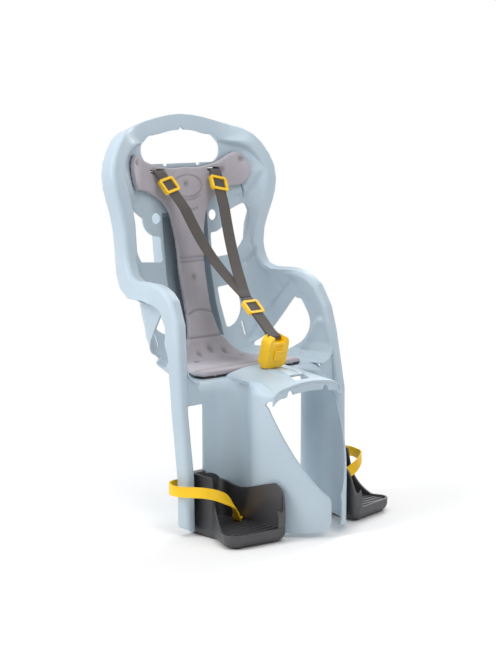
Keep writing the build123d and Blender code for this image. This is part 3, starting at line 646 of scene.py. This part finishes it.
def makeRibbon(name, run, acrossHalf, look):
    shape = bmesh.new()
    offsets = [acrossHalf * (2 * i / look["across"] - 1) for i in range(look["across"] + 1)]
    row = [shape.verts.new(run[0] + Vector((offset, 0, 0))) for offset in offsets]
    edges = [shape.edges.new(pair) for pair in zip(row, row[1:])]
    length = 0.0
    places = {point: (i / look["across"] * look["width"], length) for i, point in enumerate(row)}
    for last, here in zip(run, run[1:]):
        length += (here - last).length
        made = bmesh.ops.extrude_edge_only(shape, edges=edges)["geom"]
        row = [item for item in made if isinstance(item, bmesh.types.BMVert)]
        row.sort(key=lambda point: point.co.x)
        bmesh.ops.translate(shape, verts=row, vec=here - last)
        edges = [item for item in made if isinstance(item, bmesh.types.BMEdge)]
        places.update({point: (i / look["across"] * look["width"], length) for i, point in enumerate(row)})
    bmesh.ops.recalc_face_normals(shape, faces=shape.faces[:])
    layer = shape.loops.layers.uv.new("weave")
    for face in shape.faces:
        face.smooth = True
        for loop in face.loops:
            loop[layer].uv = places[loop.vert]
    mesh = bpy.data.meshes.new(name)
    shape.to_mesh(mesh)
    shape.free()
    piece = addPiece(name, mesh, strapWebbing, "seat")
    thicken(piece, look["thick"])
    roundEdges(piece, "selvedge", look["edge"], look["sharp"])
    return piece, length


def linearRun(start, end, steps, sag=None):
    points = []
    for i in range(steps + 1):
        share = i / steps
        points.append(start.lerp(end, share) + (sag * math.sin(math.pi * share) if sag else Vector()))
    return points


harness = {
    "slotX": 0.068, "slotZ": 0.3516, "frontY": 0.1262, "rearY": 0.1545,
    "join": Vector((0, -0.029, 0.1336)), "layer": 0.00095, "half": 0.0129,
    "bend": 0.004, "slotRows": 6, "topRows": 8, "rows": 24,  # the webbing turns over the edge of the slot
    "adjusterEnd": 0.30, "sag": {"left": 0.013, "right": 0.006},
    "bar": Vector((0, -0.10076, 0.0707)), "barRound": 0.0036, "splay": 0.014,
    "joinGap": 0.0012, "barRows": 12,
}


def makeShoulder(side, sign, layer, look):
    start = Vector((sign * look["slotX"], look["frontY"], look["slotZ"]))
    fall = (look["join"] - Vector((0, start.y, start.z))).normalized()
    front = fall.cross(Vector((1, 0, 0)))
    shift = front * (layer * look["layer"])
    top, low = start + shift, look["join"] + shift
    rear = Vector((start.x, look["rearY"], top.z))
    turned = top + (rear - top).normalized() * look["bend"]
    knee = top.lerp(low, look["bend"] / (low - top).length)
    past = top.lerp(low, look["adjusterEnd"])
    run = linearRun(rear, turned, look["slotRows"]) + [top.lerp((turned + knee) / 2, 0.5)]
    run += linearRun(knee, past, look["topRows"])
    run += linearRun(past, low, look["rows"], -front * look["sag"][side])[1:]
    piece, length = makeRibbon("shoulderStrap." + side, run, look["half"], strapLook)
    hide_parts("shoulder_strap_" + side)


def makeCrotch(look):
    join, bar = look["join"], look["bar"]
    fall = (bar - join).normalized()
    front = fall.cross(Vector((1, 0, 0)))
    begin = join + fall * look["joinGap"]
    parting = bar - fall * look["splay"]
    layer, rows = front * look["layer"], look["barRows"]
    run = linearRun(begin + layer, parting + layer, rows)
    for i in range(rows + 1):  # round the bar
        turn = math.pi * i / rows
        run.append(bar + (front * math.cos(turn) + fall * math.sin(turn)) * look["barRound"])
    run += linearRun(parting - layer, begin - layer, rows)
    piece, length = makeRibbon("crotchStrap", run, strapLook["width"] / 2, strapLook)
    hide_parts("crotch_strap")


makeShoulder("left", -1, 1, harness)
makeShoulder("right", 1, -1, harness)
makeCrotch(harness)
print("webbing made")


# floor, light and camera

stageLook = {
    "floorZ": -0.2524, "floorSunk": 0.0005, "floorSize": 14.0, "paper": (0.93, 0.93, 0.93, 1), "dull": 0.9,
    "fadeFrom": 0.5, "fadeTo": 1.6, "ambient": 0.30, "aim": (0, 0, 0.1),
    "keyPlace": (-0.5, -2.0, 2.5), "keySize": 1.4, "keyPower": 30,
    "topPlace": (-0.2, 0.2, 3.0), "topSize": 1.6, "topPower": 26,
    "leftPlace": (-2.4, 0.7, 1.5), "leftSize": 1.3, "leftPower": 42,
    "rightPlace": (2.2, 0.8, 1.6), "rightSize": 1.3, "rightPower": 36,
    "eye": (-1.8656, -2.0350, 0.4915), "ahead": (0.6741, 0.7229, -0.1514), "lens": 84.94, "sensor": 36,
}


def makeFloor(look):
    shape = bmesh.new()
    bmesh.ops.create_grid(shape, x_segments=8, y_segments=8, size=look["floorSize"] / 2)
    bmesh.ops.translate(shape, verts=shape.verts[:], vec=(0, 0, look["floorZ"] - look["floorSunk"]))
    mesh = bpy.data.meshes.new("floor")
    shape.to_mesh(mesh)
    shape.free()
    finish, tree, shader = newFinish("floorPaper")
    shader.inputs["Base Color"].default_value = look["paper"]
    shader.inputs["Roughness"].default_value = look["dull"]
    coords = tree.nodes.new("ShaderNodeTexCoord").outputs["Object"]
    flat = tree.nodes.new("ShaderNodeVectorMath")
    flat.operation = "LENGTH"
    tree.links.new(coords, flat.inputs[0])
    fade = addNode(tree, "ShaderNodeMapRange", From_Min=look["fadeFrom"], From_Max=look["fadeTo"])
    tree.links.new(flat.outputs["Value"], fade.inputs["Value"])
    white = addNode(tree, "ShaderNodeEmission", Strength=1.0)
    mix = tree.nodes.new("ShaderNodeMixShader")
    tree.links.new(fade.outputs["Result"], mix.inputs["Fac"])
    tree.links.new(shader.outputs["BSDF"], mix.inputs[1])
    tree.links.new(white.outputs["Emission"], mix.inputs[2])
    tree.links.new(mix.outputs["Shader"], tree.nodes["Material Output"].inputs["Surface"])
    floor = bpy.data.objects.new("floor", mesh)
    scene.collection.objects.link(floor)
    mesh.materials.append(finish)


def makeWorld(look):
    world = bpy.data.worlds.new("studio")
    scene.world = world
    world.use_nodes = True
    tree = world.node_tree
    back = tree.nodes["Background"]
    back.inputs["Color"].default_value = (1, 1, 1, 1)
    path = tree.nodes.new("ShaderNodeLightPath")
    seen = path.outputs["Is Camera Ray"]
    for ray in ("Is Glossy Ray", "Is Transmission Ray"):
        either = tree.nodes.new("ShaderNodeMath")
        either.operation = "MAXIMUM"
        tree.links.new(seen, either.inputs[0])
        tree.links.new(path.outputs[ray], either.inputs[1])
        seen = either.outputs[0]
    level = addNode(tree, "ShaderNodeMapRange", To_Min=look["ambient"], To_Max=1.0)
    tree.links.new(seen, level.inputs["Value"])
    tree.links.new(level.outputs["Result"], back.inputs["Strength"])


def addLamp(name, place, size, power):
    lamp = bpy.data.lights.new(name, "AREA")
    lamp.size = size
    lamp.energy = power
    holder = bpy.data.objects.new(name, lamp)
    holder.location = place
    holder.rotation_euler = (Vector(stageLook["aim"]) - Vector(place)).to_track_quat("-Z", "Y").to_euler()
    scene.collection.objects.link(holder)


def makeCamera(look):
    camera = bpy.data.objects.new("camera", bpy.data.cameras.new("camera"))
    camera.data.lens = look["lens"]
    camera.data.sensor_width = look["sensor"]
    camera.location = look["eye"]
    camera.rotation_euler = Vector(look["ahead"]).to_track_quat("-Z", "Y").to_euler()
    scene.collection.objects.link(camera)
    scene.camera = camera


makeFloor(stageLook)
makeWorld(stageLook)
for lampName in ("key", "top", "left", "right"):
    addLamp(lampName, *[stageLook[lampName + part] for part in ("Place", "Size", "Power")])
makeCamera(stageLook)
print("stage made")
